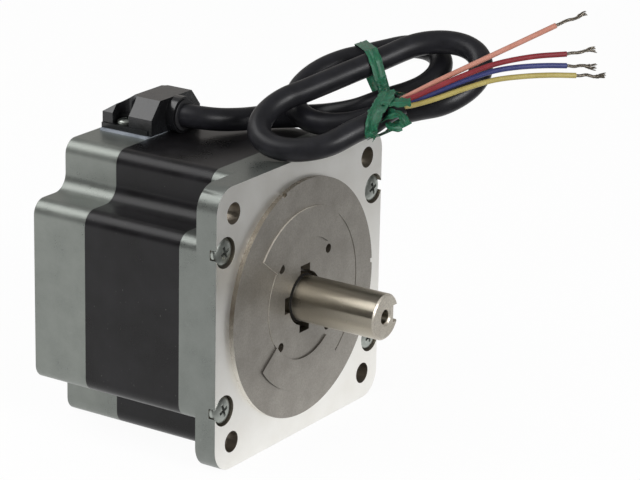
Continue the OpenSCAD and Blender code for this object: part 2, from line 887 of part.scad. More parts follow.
module lead_red() {
    color("firebrick") tube(lead_path(red_points), lead_d, 8, [0, 0, 1]);
}

module lead_blue() {
    color("royalblue") tube(lead_path(blue_points), lead_d, 8, [0, 0, 1]);
}

module lead_yellow() {
    color("gold") tube(lead_path(yellow_points), lead_d, 8, [0, 0, 1]);
}

module bare_strands() {
    color("silver") {
        tube(bare_path(orange_points, bare_rise[0]), bare_d, 6, [0, 0, 1]);
        tube(bare_path(red_points, bare_rise[1]), bare_d, 6, [0, 0, 1]);
        tube(bare_path(blue_points, bare_rise[2]), bare_d, 6, [0, 0, 1]);
        tube(bare_path(yellow_points, bare_rise[3]), bare_d, 6, [0, 0, 1]);
    }
}

// Flat ribbon along points, turned so that it faces along the normals
module ribbon(points, normals, w, t) {
    last = len(points) - 1;
    rings = [for (i = [0:last], c = [[-1, -1], [1, -1], [1, 1], [-1, 1]])
        let (h = heading(points, i), u = unit(cross(normals[i], h)), v = cross(h, u))
        points[i] + c[0] * w / 2 * u + c[1] * t / 2 * v];
    walls = [for (i = [0:last - 1], k = [0:3])
        let (n = (k + 1) % 4)
        [i * 4 + k, i * 4 + 4 + k, i * 4 + 4 + n, i * 4 + n]];
    polyhedron(rings, concat(walls, [[0, 1, 2, 3], [for (k = [3:-1:0]) last * 4 + k]]), 4);
}

// Strands of the hank inside a band's width, and the band's own points round them
function strands(loop) = [
    for (i = [0:len(hank_local) - 2], k = [0:arc_steps - 1])
    let (p = hank_local[i] + (hank_local[i + 1] - hank_local[i]) * k / arc_steps)
    if (abs(p[0] - loop[0] - loop[1] * p[1]) < loop_reach && p[1] > loop[2] && p[1] < loop[3]) [p[1], p[2]]
];
function farthest(points, n) = let (reach = [for (p = points) p * n]) points[search(max(reach), reach)[0]];
function band_point(loop, around, angle) = let (
    n = [cos(angle), sin(angle)],
    p = farthest(around, n) + (cable_d / 2 + tie_gap + tie_t / 2) * n)
    in_hank([loop[0] + loop[1] * p[0], p[0], p[1]]);

module tie_loop(loop) {
    around = strands(loop);
    angles = [for (i = [0:band_steps]) band_from + band_open + i * (360 - 2 * band_open) / band_steps];
    ribbon(
        [for (a = angles) band_point(loop, around, a)],
        [for (a = angles) cos(a) * hank_across + sin(a) * hank_out],
        tie_w, tie_t);
}

module tie_strip(points, w) {
    ribbon([for (p = points) in_hank(p)], [for (p = points) hank_out], w, tie_t);
}

module twist_tie() {
    color("seagreen") {
        tie_loop(upper_loop);
        tie_loop(lower_loop);
        tie_strip(neck_points, neck_w);
        tie_strip(tail_points, tie_w);
        tie_strip(stub_points, neck_w);
    }
}

// Four inner leads, from the cable's inner end through the window to the top coil
module internal_leads() {
    color("salmon") for (sx = [-1, 1], sz = [-1, 1]) {
        x = sx * inner_lead_offset;
        z = cable_z + sz * inner_lead_offset;
        down_y = window_from + inner_lead_bend + (1 + sz) * inner_lead_offset;
        coil_y = insulator_t + coil_build - stator_rear;
        coil_z = slot_d / 2 - inner_lead_drop - (1 + sz) * inner_lead_offset;
        bend = inner_lead_bend;
        tube([
            [x, hood_front + cable_inside, z],
            [x, down_y - bend, z],
            [x, down_y - bend * bend_share, z - bend * bend_share],
            [x, down_y, z - bend],
            [x, down_y, half_w],
            [x, down_y, coil_z + bend],
            [x, down_y - bend * bend_share, coil_z + bend * bend_share],
            [x, down_y - bend, coil_z],
            [x, coil_y, coil_z]
        ], inner_lead_d, 8, [1, 0, 0]);
    }
}

front_flange();
stator_laminations();
rear_cap();
tie_screws();
front_insulator();
rear_insulator();
phase_a_windings();
phase_b_windings();
shaft();
front_rotor_stack();
rear_rotor_stack();
rotor_magnet();
front_outer_race();
front_inner_race();
front_balls();
front_cage();
front_shields();
rear_outer_race();
rear_inner_race();
rear_balls();
rear_cage();
rear_shields();
wave_washer();
cable_hood();
hood_gasket();
hood_screws();
cable_grommet();
cable_run();
cable_hank();
lead_orange();
lead_red();
lead_blue();
lead_yellow();
bare_strands();
twist_tie();
internal_leads();
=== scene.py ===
from math import atan2, cos, degrees, hypot, pi, radians, sin, sqrt

import bmesh
import bpy
import numpy as np
from mathutils import Matrix, Vector


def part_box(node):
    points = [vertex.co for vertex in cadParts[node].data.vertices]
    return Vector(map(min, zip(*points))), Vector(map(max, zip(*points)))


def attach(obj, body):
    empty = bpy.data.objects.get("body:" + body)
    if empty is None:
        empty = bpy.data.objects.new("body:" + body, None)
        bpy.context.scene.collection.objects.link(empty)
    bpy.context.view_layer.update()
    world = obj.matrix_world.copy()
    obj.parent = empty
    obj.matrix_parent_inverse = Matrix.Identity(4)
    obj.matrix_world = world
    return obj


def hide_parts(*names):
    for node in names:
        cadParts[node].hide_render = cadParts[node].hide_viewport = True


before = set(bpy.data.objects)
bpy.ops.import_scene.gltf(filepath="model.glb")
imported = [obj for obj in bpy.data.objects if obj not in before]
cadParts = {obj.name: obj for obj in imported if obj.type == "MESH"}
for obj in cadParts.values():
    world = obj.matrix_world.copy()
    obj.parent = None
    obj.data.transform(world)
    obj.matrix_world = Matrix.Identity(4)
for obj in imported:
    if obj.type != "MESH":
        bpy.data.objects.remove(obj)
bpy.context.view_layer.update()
mm = 0.001
scene = bpy.context.scene
print("motor frame loaded,", len(cadParts), "parts")

# camera first, from the fit to the photograph
view = {
    "place": (-0.674716, -0.451416, 0.286432), "bearing": -56.5967, "tilt": 18.3118, "roll": 1.1702,
    "lens": 163.6007, "sensor": 36, "clip": (0.05, 20),
}


def turned(angle, axis):
    return Matrix.Rotation(radians(angle), 4, axis)


def linked(name, data):
    made = bpy.data.objects.new(name, data)
    scene.collection.objects.link(made)
    return made


lens = bpy.data.cameras.new("benchCamera")
lens.sensor_width, lens.lens = view["sensor"], view["lens"]
lens.clip_start, lens.clip_end = view["clip"]
scene.camera = linked("benchCamera", lens)
scene.camera.matrix_world = (Matrix.Translation(view["place"]) @ turned(view["bearing"], "Z")
                             @ turned(90 - view["tilt"], "X") @ turned(view["roll"], "Z"))
scene.view_settings.view_transform = "Standard"
print("camera placed")


def tone(colour):
    # an sRGB colour from 0 to 255, as the linear colour that the shader takes
    share = [c / 255 for c in colour]
    return tuple(c / 12.92 if c <= 0.04045 else ((c + 0.055) / 1.055) ** 2.4 for c in share) + (1,)


inHand = {}


def put(kind, inputs=None, **settings):
    # adds a node to the tree in hand and gives its outputs; a socket is linked, another value is set
    made = inHand["tree"].nodes.new(kind)
    for name, value in settings.items():
        setattr(made, name, value)
    for name, value in (inputs or {}).items():
        if isinstance(value, bpy.types.NodeSocket):
            inHand["tree"].links.new(value, made.inputs[name])
        elif value is not None:
            made.inputs[name].default_value = value
    return made.outputs


def startTree(owner):
    owner.use_nodes = True
    inHand["tree"] = owner.node_tree
    owner.node_tree.nodes.clear()
    return put("ShaderNodeTexCoord")


def recipe(mix):
    # mix(spot, ...) fills a tree; the recipe is called with a name instead and gives the finish
    def mixed(name, *values, **more):
        finish = bpy.data.materials.new(name)
        mix(startTree(finish)["Object"], *values, **more)
        return finish
    return mixed


def speckle(spot, size, detail=4.0, rough=0.55, stretch=None):
    # noise whose blotches are about size across; lengths in the finishes are in mm
    if stretch:
        spot = put("ShaderNodeMapping", {"Vector": spot, "Scale": stretch})[0]
    return put("ShaderNodeTexNoise",
               {"Vector": spot, "Scale": 1 / (size * mm), "Detail": detail, "Roughness": rough})[0]


def blend(share, low, high):
    # low and high: sockets, sRGB colours of three numbers or linear ones of four
    low, high = (tone(c) if isinstance(c, tuple) and len(c) == 3 else c for c in (low, high))
    return put("ShaderNodeMix", {0: share, 6: low, 7: high}, data_type="RGBA")[2]


def spread(value, low=0.3, high=0.7, to=(0.0, 1.0)):
    return put("ShaderNodeMapRange", {"Value": value, "From Min": low, "From Max": high,
                                      "To Min": to[0], "To Max": to[1]})[0]


def reckon(kind, first, second=0.0, third=0.0):
    return put("ShaderNodeMath", {0: first, 1: second, 2: third}, operation=kind)[0]


def times(first, second):
    return reckon("MULTIPLY", first, second)


def vectorOf(kind, first, second, end=0):
    return put("ShaderNodeVectorMath", {0: first, 1: second}, operation=kind)[end]


def alongAxis(spot, axis):
    return put("ShaderNodeSeparateXYZ", {0: spot})[axis]


def shineOf(rough, slow, below, above, quick, swing):
    # roughness that drifts with one noise and flickers with a finer one
    return reckon("ADD", spread(slow, to=(rough - below, rough + above)),
                  spread(quick, to=(-swing, swing)))


def relief(height, depth, under=None):
    # bumps as high as depth, on top of the ones under them
    return put("ShaderNodeBump", {"Height": height, "Distance": depth * mm, "Normal": under})[0]


def close(**sockets):
    names = {"colour": "Base Color", "metal": "Metallic", "rough": "Roughness", "normal": "Normal",
             "ior": "IOR", "coat": "Coat Weight", "coatRough": "Coat Roughness",
             "level": "Specular IOR Level", "skin": "Subsurface Weight", "skinReach": "Subsurface Scale",
             "drawn": "Anisotropic", "tangent": "Tangent"}
    shader = put("ShaderNodeBsdfPrincipled", {names[k]: v for k, v in sockets.items()})
    put("ShaderNodeOutputMaterial", {"Surface": shader[0]})


@recipe
def castSkin(spot, dark, pale, metal, rough):
    # as-cast aluminium: blotchy grey with a fine grain and a few paler scuffs
    cloud = speckle(spot, 9, 5)
    fine = speckle(spot, 0.4, 3, 0.6)
    scuff = speckle(spot, 2.2, 6, 0.7)
    base = blend(spread(cloud, 0.25, 0.75), dark, pale)
    base = blend(spread(fine, 0.35, 0.65, (0, 0.4)), base, pale)
    base = blend(spread(scuff, 0.64, 0.76, (0, 0.22)), base, (176, 178, 176))
    close(colour=base, metal=metal, rough=shineOf(rough, cloud, 0.05, 0.05, fine, 0.07),
          normal=relief(cloud, 0.08, relief(fine, 0.03)))


@recipe
def milledFace(spot, dark, pale, metal, rough):
    # face cut flat on the mill: faint straight tool lines and small stains
    lines = speckle(spot, 0.35, 2, 0.5, (1.0, 0.1, 0.06))
    cloud = speckle(spot, 14, 4)
    stain = speckle(spot, 1.6, 5, 0.75)
    base = blend(spread(cloud), dark, pale)
    base = blend(spread(stain, 0.66, 0.78, (0, 0.3)), base, (128, 118, 104))
    close(colour=base, metal=metal, rough=shineOf(rough, cloud, 0.04, 0.05, lines, 0.03),
          normal=relief(lines, 0.006))


@recipe
def turnedFace(spot, dark, pale, metal, rough, pitch=0.35, depth=0.004, grain=0.0, below=None):
    # face turned on the lathe: fine rings round the shaft's axis; if told so, a painted reflection makes it
    # paler towards the bottom
    radius = vectorOf("LENGTH", vectorOf("MULTIPLY", spot, (1, 0, 1)), None, "Value")
    wave = reckon("SINE", times(radius, 2 * pi / (pitch * mm)))
    cloud = speckle(spot, 8, 5)
    fine = speckle(spot, 0.45, 3, 0.65)
    base = blend(spread(cloud, 0.32, 0.68), dark, pale)
    base = blend(spread(fine, 0.35, 0.7, (0, 0.35)), base, (112, 106, 98))
    # painted reflection: below the axis the colour blends into the pale one, as if the bench shone in it
    if below:
        base = blend(spread(alongAxis(spot, "Z"), -14 * mm, 2 * mm), below, base)
    shine = reckon("ADD", spread(cloud, to=(rough - 0.04, rough + 0.06)),
                   times(wave, 0.015))
    bumps = relief(wave, depth)
    if grain:
        bumps = relief(fine, grain, bumps)
    close(colour=base, metal=metal, rough=shine, normal=bumps)


@recipe
def lacquer(spot, colour, rough, pitch=0.5):
    # satin black coat over the pressed stack: sheet edges show as the faintest lines
    wave = reckon("SINE", times(alongAxis(spot, "Y"), 2 * pi / (pitch * mm)))
    fine = speckle(spot, 0.6, 4, 0.6)
    cloud = speckle(spot, 12, 4)
    dust = speckle(spot, 0.8, 2, 0.4)
    base = blend(spread(cloud, 0.35, 0.7), colour, (24, 23, 25))
    base = blend(spread(dust, 0.74, 0.8, (0, 0.25)), base, (120, 120, 116))
    shine = spread(cloud, to=(rough - 0.04, rough + 0.06))
    close(colour=base, rough=shine, ior=1.5, level=0.28,
          normal=relief(fine, 0.012, relief(wave, 0.002)))


@recipe
def brushedSteel(spot, dark, pale, rough, metal=1.0, stretch=None, size=0.3, depth=0.003, patch=0.4,
                 drawn=0.0):
    # ground or plated steel with marks in one direction; drawn stretches its reflections along the shaft
    marks = speckle(spot, size, 3, 0.6, stretch)
    cloud = speckle(spot, 5, 4)
    base = blend(spread(marks, 0.25, 0.75), dark, pale)
    base = blend(spread(cloud, 0.55, 0.8, (0, patch)), base, dark)
    shine = shineOf(rough, cloud, 0.08 * patch, 0.1 * patch, marks, 0.075 * patch)
    shaftLine = put("ShaderNodeCombineXYZ", {"Y": 1.0})[0]
    close(colour=base, metal=metal, rough=shine, normal=relief(marks, depth), drawn=drawn,
          tangent=shaftLine)


@recipe
def moulded(spot, colour, worn, rough, size=0.5, depth=0.012, level=0.5):
    # moulded plastic or rubber with a fine leathery skin
    cell = put("ShaderNodeTexVoronoi", {"Vector": spot, "Scale": 1 / (size * mm)})["Distance"]
    cloud = speckle(spot, 6, 5)
    fine = speckle(spot, 0.2, 3)
    base = blend(spread(cloud, 0.4, 0.75), colour, worn)
    shine = shineOf(rough, cloud, 0.05, 0.06, fine, 0.03)
    close(colour=base, rough=shine, ior=1.48, level=level,
          normal=relief(cell, depth, relief(cloud, 0.1)))


@recipe
def sleeve(spot, colour, worn, rough, ripple, level=0.5):
    # extruded jacket or insulation: smooth along its length, soft ripples across
    skin = put("ShaderNodeTexCoord")["UV"]
    along = speckle(skin, 5, 3, 0.5, (1, 0.35, 1))
    fine = speckle(spot, 0.25, 3, 0.6)
    cloud = speckle(spot, 4, 4)
    base = blend(spread(cloud, 0.4, 0.75), colour, worn)
    shine = shineOf(rough, along, 0.05, 0.06, fine, 0.02)
    close(colour=base, rough=shine, ior=1.5, level=level,
          normal=relief(fine, 0.004, relief(along, ripple)))


@recipe
def windingWire(spot, dark, pale):
    # enamelled copper under a clear coat
    cloud = speckle(spot, 2, 4)
    base = blend(spread(cloud), dark, pale)
    close(colour=base, metal=0.75, rough=spread(cloud, to=(0.24, 0.38)),
          coat=0.6, coatRough=0.2, normal=relief(speckle(spot, 0.4), 0.01))


finishes = {
    "castFront": castSkin("cast_front_cap", (104, 108, 104), (126, 130, 126), 0.75, 0.35),
    "castRear": castSkin("cast_rear_cap", (108, 112, 108), (132, 136, 131), 0.72, 0.36),
    "milled": milledFace("milled_plate_face", (234, 232, 226), (244, 243, 239), 0.93, 0.34),
    "pilotFace": turnedFace("turned_pilot_face", (146, 142, 135), (166, 162, 155), 0.85, 0.42,
        0.5, 0.004, 0.02),
    # the pilot wall is darker above and carries a pale painted reflection below
    "pilotWall": turnedFace("turned_pilot_wall", (126, 116, 104), (176, 168, 156), 0.9, 0.26,
        0.3, below=(240, 236, 228)),
    "bore": turnedFace("bored_holes", (120, 112, 100), (150, 142, 130), 0.8, 0.35),
    "coat": lacquer("stator_coat", (12, 11, 12), 0.3),
    "teeth": brushedSteel("lamination_steel", (120, 122, 126), (160, 162, 166), 0.4, stretch=(1, 0.04, 1)),
    "zinc": brushedSteel("zinc_plated_screws", (150, 156, 150), (182, 186, 180), 0.34,
        size=0.8, depth=0.01),
    "recess": moulded("screw_recess_shade", (52, 55, 52), (74, 77, 72), 0.6),
    "shaft": brushedSteel("ground_shaft", (178, 171, 156), (190, 183, 169), 0.28,
        stretch=(1, 5, 1), size=0.6, depth=0.0001, patch=0.06, drawn=0.95),
    # painted shade: the journal step inside the bore is coloured near-black and matte for the shade it sits
    # in
    "journal": moulded("oil_dark_journal", (26, 25, 23), (38, 36, 33), 0.85, level=0.1),
    # painted highlight and painted shadow for the pad edges and grooves on the pilot face
    "padLight": turnedFace("pad_edge_painted_highlight", (190, 184, 174), (214, 208, 198), 0.2, 0.5),
    "padDark": turnedFace("pad_edge_painted_shadow", (52, 49, 45), (70, 66, 61), 0.2, 0.6),
    "shaftEnd": turnedFace("faced_shaft_end", (196, 188, 174), (222, 216, 204), 0.7, 0.36),
    "race": brushedSteel("bearing_rings", (176, 178, 180), (208, 210, 212), 0.16, stretch=(1, 0.04, 1)),
    "ball": brushedSteel("bearing_balls", (198, 200, 204), (220, 222, 226), 0.08,
        depth=0.0005),
    "cage": brushedSteel("pressed_cages", (168, 164, 150), (196, 192, 178), 0.34),
    "shield": brushedSteel("pressed_shields", (150, 152, 154), (180, 182, 184), 0.32),
    "rotorSteel": brushedSteel("rotor_stack_steel", (110, 112, 116), (150, 152, 156), 0.38,
        stretch=(1, 14, 1), size=0.4),
    "magnet": moulded("magnet_disc", (62, 60, 60), (84, 82, 80), 0.36),
    "spring": brushedSteel("spring_steel", (110, 104, 96), (150, 142, 130), 0.3, stretch=(1, 0.04, 1)),
    "ivory": moulded("insulator_ivory", (224, 218, 198), (206, 198, 176), 0.44),
    "copperA": windingWire("winding_wire_a", (150, 62, 28), (190, 92, 44)),
    "copperB": windingWire("winding_wire_b", (140, 56, 26), (180, 84, 40)),
    "hood": moulded("hood_moulding", (15, 15, 16), (23, 24, 26), 0.22, 0.7, 0.002, level=0.65),
    "gasket": moulded("gasket_rubber", (110, 116, 124), (150, 156, 164), 0.5),
    "bushing": moulded("bushing_rubber", (26, 26, 28), (40, 40, 42), 0.5),
    "jacket": sleeve("cable_jacket", (20, 20, 23), (28, 28, 32), 0.4, 0.1, level=0.3),
    "orange": sleeve("insulation_orange", (158, 106, 90), (166, 116, 102), 0.42, 0.02),
    "red": sleeve("insulation_red", (104, 24, 32), (120, 34, 40), 0.42, 0.02),
    "blue": sleeve("insulation_blue", (42, 48, 96), (54, 60, 108), 0.42, 0.02),
    "yellow": sleeve("insulation_yellow", (142, 129, 70), (154, 142, 86), 0.42, 0.02),
    "core": moulded("cable_filler", (196, 192, 182), (176, 172, 160), 0.6),
    "tinned": brushedSteel("tinned_strands", (84, 78, 70), (158, 150, 138), 0.34, 0.9),
    "innerLead": moulded("inner_lead_insulation", (196, 110, 84), (210, 124, 96), 0.45),
}


@recipe
def tieFilm(spot):
    # green film over a wire core: streaks along it, a little light comes through
    skin = put("ShaderNodeTexCoord")["UV"]
    streak = speckle(skin, 0.8, 4, 0.6, (2.2, 0.12, 1))
    crease = speckle(spot, 1.1, 4, 0.6)
    base = blend(spread(streak, 0.3, 0.72), (16, 66, 46), (44, 102, 76))
    base = blend(spread(crease, 0.5, 0.8, (0, 0.5)), base, (10, 44, 30))
    close(colour=base, rough=spread(streak, to=(0.34, 0.5)),
          normal=relief(streak, 0.05, relief(crease, 0.07)), ior=1.5, level=0.35,
          skin=0.18, skinReach=0.8 * mm)


finishes["tie"] = tieFilm("tie_green_film")
print("finishes mixed:", len(finishes))


def newPiece(name, mesh, nodes):
    piece = linked(name, mesh)
    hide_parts(*nodes)
    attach(piece, "housing")
    return piece


def meshOf(name, corners, faces, finish=None, smooth=True):
    mesh = bpy.data.meshes.new(name)
    mesh.from_pydata([tuple(c) for c in corners], [], faces)
    mesh.validate()
    if finish:
        mesh.materials.append(finishes[finish])
    if smooth:
        mesh.shade_smooth()
    return mesh


def modified(piece, kind, **settings):
    made = piece.modifiers.new(kind.lower(), kind)
    for key, value in settings.items():
        setattr(made, key, value)
    return made


def plainMesh(piece, name):
    # the evaluated shape as a mesh of its own
    bpy.context.view_layer.update()
    graph = bpy.context.evaluated_depsgraph_get()
    mesh = bpy.data.meshes.new_from_object(piece.evaluated_get(graph), preserve_all_data_layers=True,
                                           depsgraph=graph)
    mesh.name = name
    return mesh


def unit(v):
    return v / max(np.linalg.norm(v), 1e-12)


def smoothRoute(points, step, curl=0.5, between=16):
    # one smooth line through all the points, with even steps
    p = np.array(points, float)
    p = np.vstack([2 * p[0] - p[1], p, 2 * p[-1] - p[-2]])
    fine = []
    for a, b, c, d in zip(p[:-3], p[1:-2], p[2:-1], p[3:]):
        k1 = np.linalg.norm(b - a) ** curl
        k2 = k1 + np.linalg.norm(c - b) ** curl
        k3 = k2 + np.linalg.norm(d - c) ** curl
        for t in np.linspace(k1, k2, between, endpoint=False):
            ab = a + (b - a) * t / k1
            bc = b + (c - b) * (t - k1) / (k2 - k1)
            cd = c + (d - c) * (t - k2) / (k3 - k2)
            abc = ab + (bc - ab) * t / k2
            bcd = bc + (cd - bc) * (t - k1) / (k3 - k1)
            fine.append(abc + (bcd - abc) * (t - k1) / (k2 - k1))
    fine.append(p[-2])
    fine = np.array(fine)
    walked = walkedAlong(fine)
    stops = np.linspace(0, walked[-1], max(3, int(round(walked[-1] / step)) + 1))
    return np.array([[np.interp(s, walked, fine[:, i]) for i in range(3)] for s in stops])


def headings(route):
    return [unit(route[min(i + 1, len(route) - 1)] - route[max(i - 1, 0)]) for i in range(len(route))]


def carried(route):
    # heading and two sideways directions at each point, carried along without twist
    side = unit(np.cross(headings(route)[0], [0.1, 0.2, 1.0]))
    found = []
    for h in headings(route):
        side = unit(side - h * np.dot(side, h))
        found.append((h, side, np.cross(h, side)))
    return found


def walkedAlong(route):
    # the length walked from the start to each point
    return np.concatenate([[0], np.cumsum(np.linalg.norm(np.diff(route, axis=0), axis=1))])


def circleAt(centre, u, v, r, sides):
    # corners of a circle in the plane of u and v
    return [centre + r * (cos(a) * u + sin(a) * v)
            for a in np.linspace(0, 2 * pi, sides, endpoint=False)]


def ringFaces(start, rings, sides, closed=False):
    # quads between neighbouring rings, whose corners are numbered from start
    faces = []
    for i in range(rings if closed else rings - 1):
        here, there = start + i * sides, start + (i + 1) % rings * sides
        for k in range(sides):
            n = (k + 1) % sides
            faces.append((here + k, here + n, there + n, there + k))
    return faces


def endFaces(start, rings, sides):
    # one flat face on the first ring and one on the last
    last = start + (rings - 1) * sides
    return [tuple(range(start, start + sides))[::-1], tuple(range(last, last + sides))]


# shares of the radius where a tube is cut
cutEnd = {"rim": 0.9, "rise": 0.04, "lip": 0.78}
sharpAngle = 50


def tubeMesh(name, route, radius, sides, finish, recess=0.0, core=None):
    # round tube with u round it and v along it, in metres; radius may be one value a ring
    radii = np.broadcast_to(radius, len(route))
    axes, walked, last = carried(route), walkedAlong(route), len(route) - 1
    rim, rise, lip = (cutEnd[k] for k in ("rim", "rise", "lip"))
    # each ring's place on the route, share of the radius and step along the heading
    rings = [(0, lip, 0), (0, rim, -rise * radii[0])] + [(i, 1, 0) for i in range(len(route))]
    rings += [(last, rim, rise * radii[last]), (last, lip, -recess)]
    corners = []
    for i, share, step in rings:
        h, u, v = axes[i]
        corners += circleAt(route[i] + step * h, u, v, share * radii[i], sides)
    mesh = meshOf(name, corners, ringFaces(0, len(rings), sides) + endFaces(0, len(rings), sides), finish)
    uv = mesh.uv_layers.new(name="lay")
    width = 2 * pi * float(np.mean(radii)) / sides
    for face in mesh.polygons:
        ring, k = divmod(face.index, sides)
        onTube = 2 <= ring < len(rings) - 3
        for corner, (loop, at) in enumerate(zip(face.loop_indices, face.vertices)):
            across = k + (corner in (1, 2)) if onTube else 0
            uv.data[loop].uv = (across * width, walked[rings[at // sides][0]])
    if core:
        mesh.materials.append(finishes[core])
        mesh.polygons[-1].material_index = 1
        mesh.polygons[-1].use_smooth = False
    mesh.set_sharp_from_angle(angle=radians(sharpAngle))
    return mesh


cable = {
    "diameter": 7.0, "swell": ((0.006, 0.21, 0), (0.004, 0.083, 1)), "recess": 1.2,
    "bore": (0.0, 46.0, 48.4),
    "run": [(0, 3.5, 0), (0, 0.3, 0), (0, -4.7, 0), (1.5, -8.7, -0.3), (5.5, -12.7, -1), (11, -16.7, -1.4),
            (17.5, -20.7, -1.5), (22.8, -26.2, -1.5), (25.3, -32.7, -0.8), (26.3, -39.7, 0.8),
            (28, -46.2, 2.8)],
    "turn": 45, "pitch": 16, "lean": 26, "stretch": 1.35,
    "origin": (20.0, 0.0, 52.0),
    "halfTurns": [(21.5, 2.1, 21.3, -2.5, -1.7), (7.9, 22.7, -6.4, -1.6, 0.3), (27, -13.2, 11.3, 4.1, 6.5),
                  (-8.6, 5.9, -19.8, 7.4, 8.9)],
    "end": [(-0.7, -17.9, 8.8), (6, -15.6, 7.9), (10.8, -13.8, 8.4), (15.5, -13.1, 9.3)],
    "arcSteps": 9, "runSteps": 3, "leadIn": (1.4, 0.7),
    "ring": 1.0, "sides": 28,
}


def hankAxes():
    turn, pitch, lean = (radians(cable[k]) for k in ("turn", "pitch", "lean"))
    level = np.array([sin(turn), cos(turn), 0])
    along = np.array([cos(turn) * cos(pitch), -sin(turn) * cos(pitch), sin(pitch)])
    across = cos(lean) * level + sin(lean) * np.cross(along, level)
    return along, across, np.cross(along, across)


hankAlong, hankAcross, hankOut = hankAxes()


def inHank(p):
    return np.array(cable["origin"]) + p[0] * hankAlong + p[1] * hankAcross + p[2] * hankOut


def halfTurn(i):
    centre, low, high, layer, nextLayer = cable["halfTurns"][i]
    side = 1 if i % 2 == 0 else -1
    r, mid, steps = (high - low) / 2, (high + low) / 2, cable["arcSteps"]
    points = []
    for k in range(steps + 1):
        a = radians(k * 180 / steps - 90)
        points.append(np.array([centre + side * cable["stretch"] * abs(r) * cos(a),
                                mid + r * sin(a), layer + (nextLayer - layer) * k / steps]))
    return points


def hankPoints():
    arcs, steps = [halfTurn(i) for i in range(len(cable["halfTurns"]))], cable["runSteps"]
    points = [arcs[0][0] - (back * cable["diameter"], 0, 0) for back in cable["leadIn"]]
    for arc, after in zip(arcs, arcs[1:]):
        points += arc + [arc[-1] + (after[0] - arc[-1]) * k / steps for k in range(1, steps)]
    return points + arcs[-1] + [np.array(p, float) for p in cable["end"]]


hankLocal = hankPoints()
cableRoute = smoothRoute([np.array(cable["bore"]) + p for p in cable["run"]]
                         + [inHank(p) for p in hankLocal], cable["ring"])
cableEnd = cableRoute[-1]
rings = np.arange(len(cableRoute))
plump = cable["diameter"] / 2 * (1 + sum(share * np.sin(rings * rate + first)
                                         for share, rate, first in cable["swell"]))
cableMesh = tubeMesh("cable_jacket", cableRoute * mm, plump * mm, cable["sides"], "jacket",
                     recess=cable["recess"] * mm, core="core")
cableJacket = newPiece("cable_four_core", cableMesh, ("cable_run", "cable_hank"))

leads = {
    "heading": (0.65, -0.76, 0.0), "diameter": 1.6, "ring": 0.7, "sides": 16, "recess": 0.2,
    "orange": [(0, 0.9, 0.9), (4, 0.9, 2.9), (10, 0.9, 6), (22.6, 0.9, 12), (34, 0.6, 17.5), (45, 0.4, 22.8)],
    "red": [(0, -0.9, 0.9), (4, -0.9, 2.3), (10, -0.9, 5), (19, -0.9, 8.8), (27.5, -0.9, 11.8),
            (38, -0.9, 13.8), (48.2, -0.9, 14.5)],
    "blue": [(0, 0.9, -0.9), (4, 0.9, 0.4), (10, 0.9, 2.9), (19, 0.9, 6.5), (27.5, 0.9, 9.2), (34, 0.9, 10.2),
             (42, 0.9, 10.6), (48.8, 0.9, 10.5)],
    "yellow": [(0, -0.9, -0.9), (4, -0.9, -0.2), (10, -0.9, 1.5), (19, -0.9, 4.6), (27, -0.9, 6.9),
               (35.5, -0.9, 7.9), (43.5, -0.9, 8.2), (51.3, -0.9, 8)],
}
bare = {
    "out": 8.9, "rise": {"orange": 3.6, "red": 1.4, "blue": -0.4, "yellow": -0.3},
    "strand": 0.17, "bundle": 0.34, "twist": 3.2, "sway": 0.22, "wires": 7, "sides": 8, "rings": 26,
    "sunk": 1.2, "opens": 0.6, "wound": 0.8, "flare": 2.6, "curve": 1.5,
    "point": 0.55,
    "fray": {"orange": 0.7, "red": 0.9, "blue": 2.6, "yellow": 1.3},
}
leadHeading = np.array(leads["heading"])
leadSide = np.cross([0, 0, 1], leadHeading)


def strandMesh(colour, tip, seed):
    # seven tinned wires twisted together, opening towards their ends
    rng = np.random.default_rng(seed)
    step = bare["out"] * leadHeading + (0, 0, bare["rise"][colour])
    h = unit(step)
    u = unit(np.cross(h, [0, 0, 1]))
    v = np.cross(h, u)
    reach = np.linalg.norm(step)
    corners, faces, sides, outer = [], [], bare["sides"], bare["wires"] - 1
    for wire in range(bare["wires"]):
        phase = wire * 2 * pi / outer
        splay = bare["fray"][colour] * rng.uniform(0.25, 1.0)
        sag = rng.uniform(-0.5, 0.5)
        length = reach * rng.uniform(0.93, 1.0)
        points = []
        for s in np.linspace(-bare["sunk"], length, bare["rings"]):
            share = max(0.0, s / length)
            r = bare["bundle"] + splay * max(0, share - bare["opens"]) ** bare["curve"] * bare["flare"]
            r = r if wire < outer else 0.0
            a = phase + max(0, min(s, reach * bare["wound"])) / reach * bare["twist"] * 2 * pi
            sway = (u * sin(1.5 * s + seed) + v * sin(1.1 * s + 2 * seed)) * min(share * 3, 1)
            points.append(tip + h * s + (u * cos(a) + v * sin(a)) * r
                          + v * sag * share ** 3 * 0.5 + sway * bare["sway"])
        route = np.array(points)
        start = len(corners)
        for i, ((_, a1, a2), centre) in enumerate(zip(carried(route), route)):
            r = bare["strand"] * (1 if i < len(route) - 1 else bare["point"])
            corners += [c * mm for c in circleAt(centre, a1, a2, r, sides)]
        faces += ringFaces(start, len(route), sides) + endFaces(start, len(route), sides)
    return meshOf("strands_" + colour, corners, faces, "tinned")


for seed, colour in enumerate(("orange", "red", "blue", "yellow")):
    route = smoothRoute([cableEnd + p[0] * leadHeading + p[1] * leadSide + (0, 0, p[2])
                         for p in leads[colour]], leads["ring"])
    mesh = tubeMesh("lead_" + colour, route * mm, leads["diameter"] / 2 * mm, leads["sides"], colour,
                    recess=leads["recess"] * mm, core="tinned")
    lead = newPiece("insulated_lead_" + colour, mesh, ("lead_" + colour,))
    strands = newPiece("bare_end_" + colour, strandMesh(colour, route[-1], seed + 4),
                       ("bare_strands",))

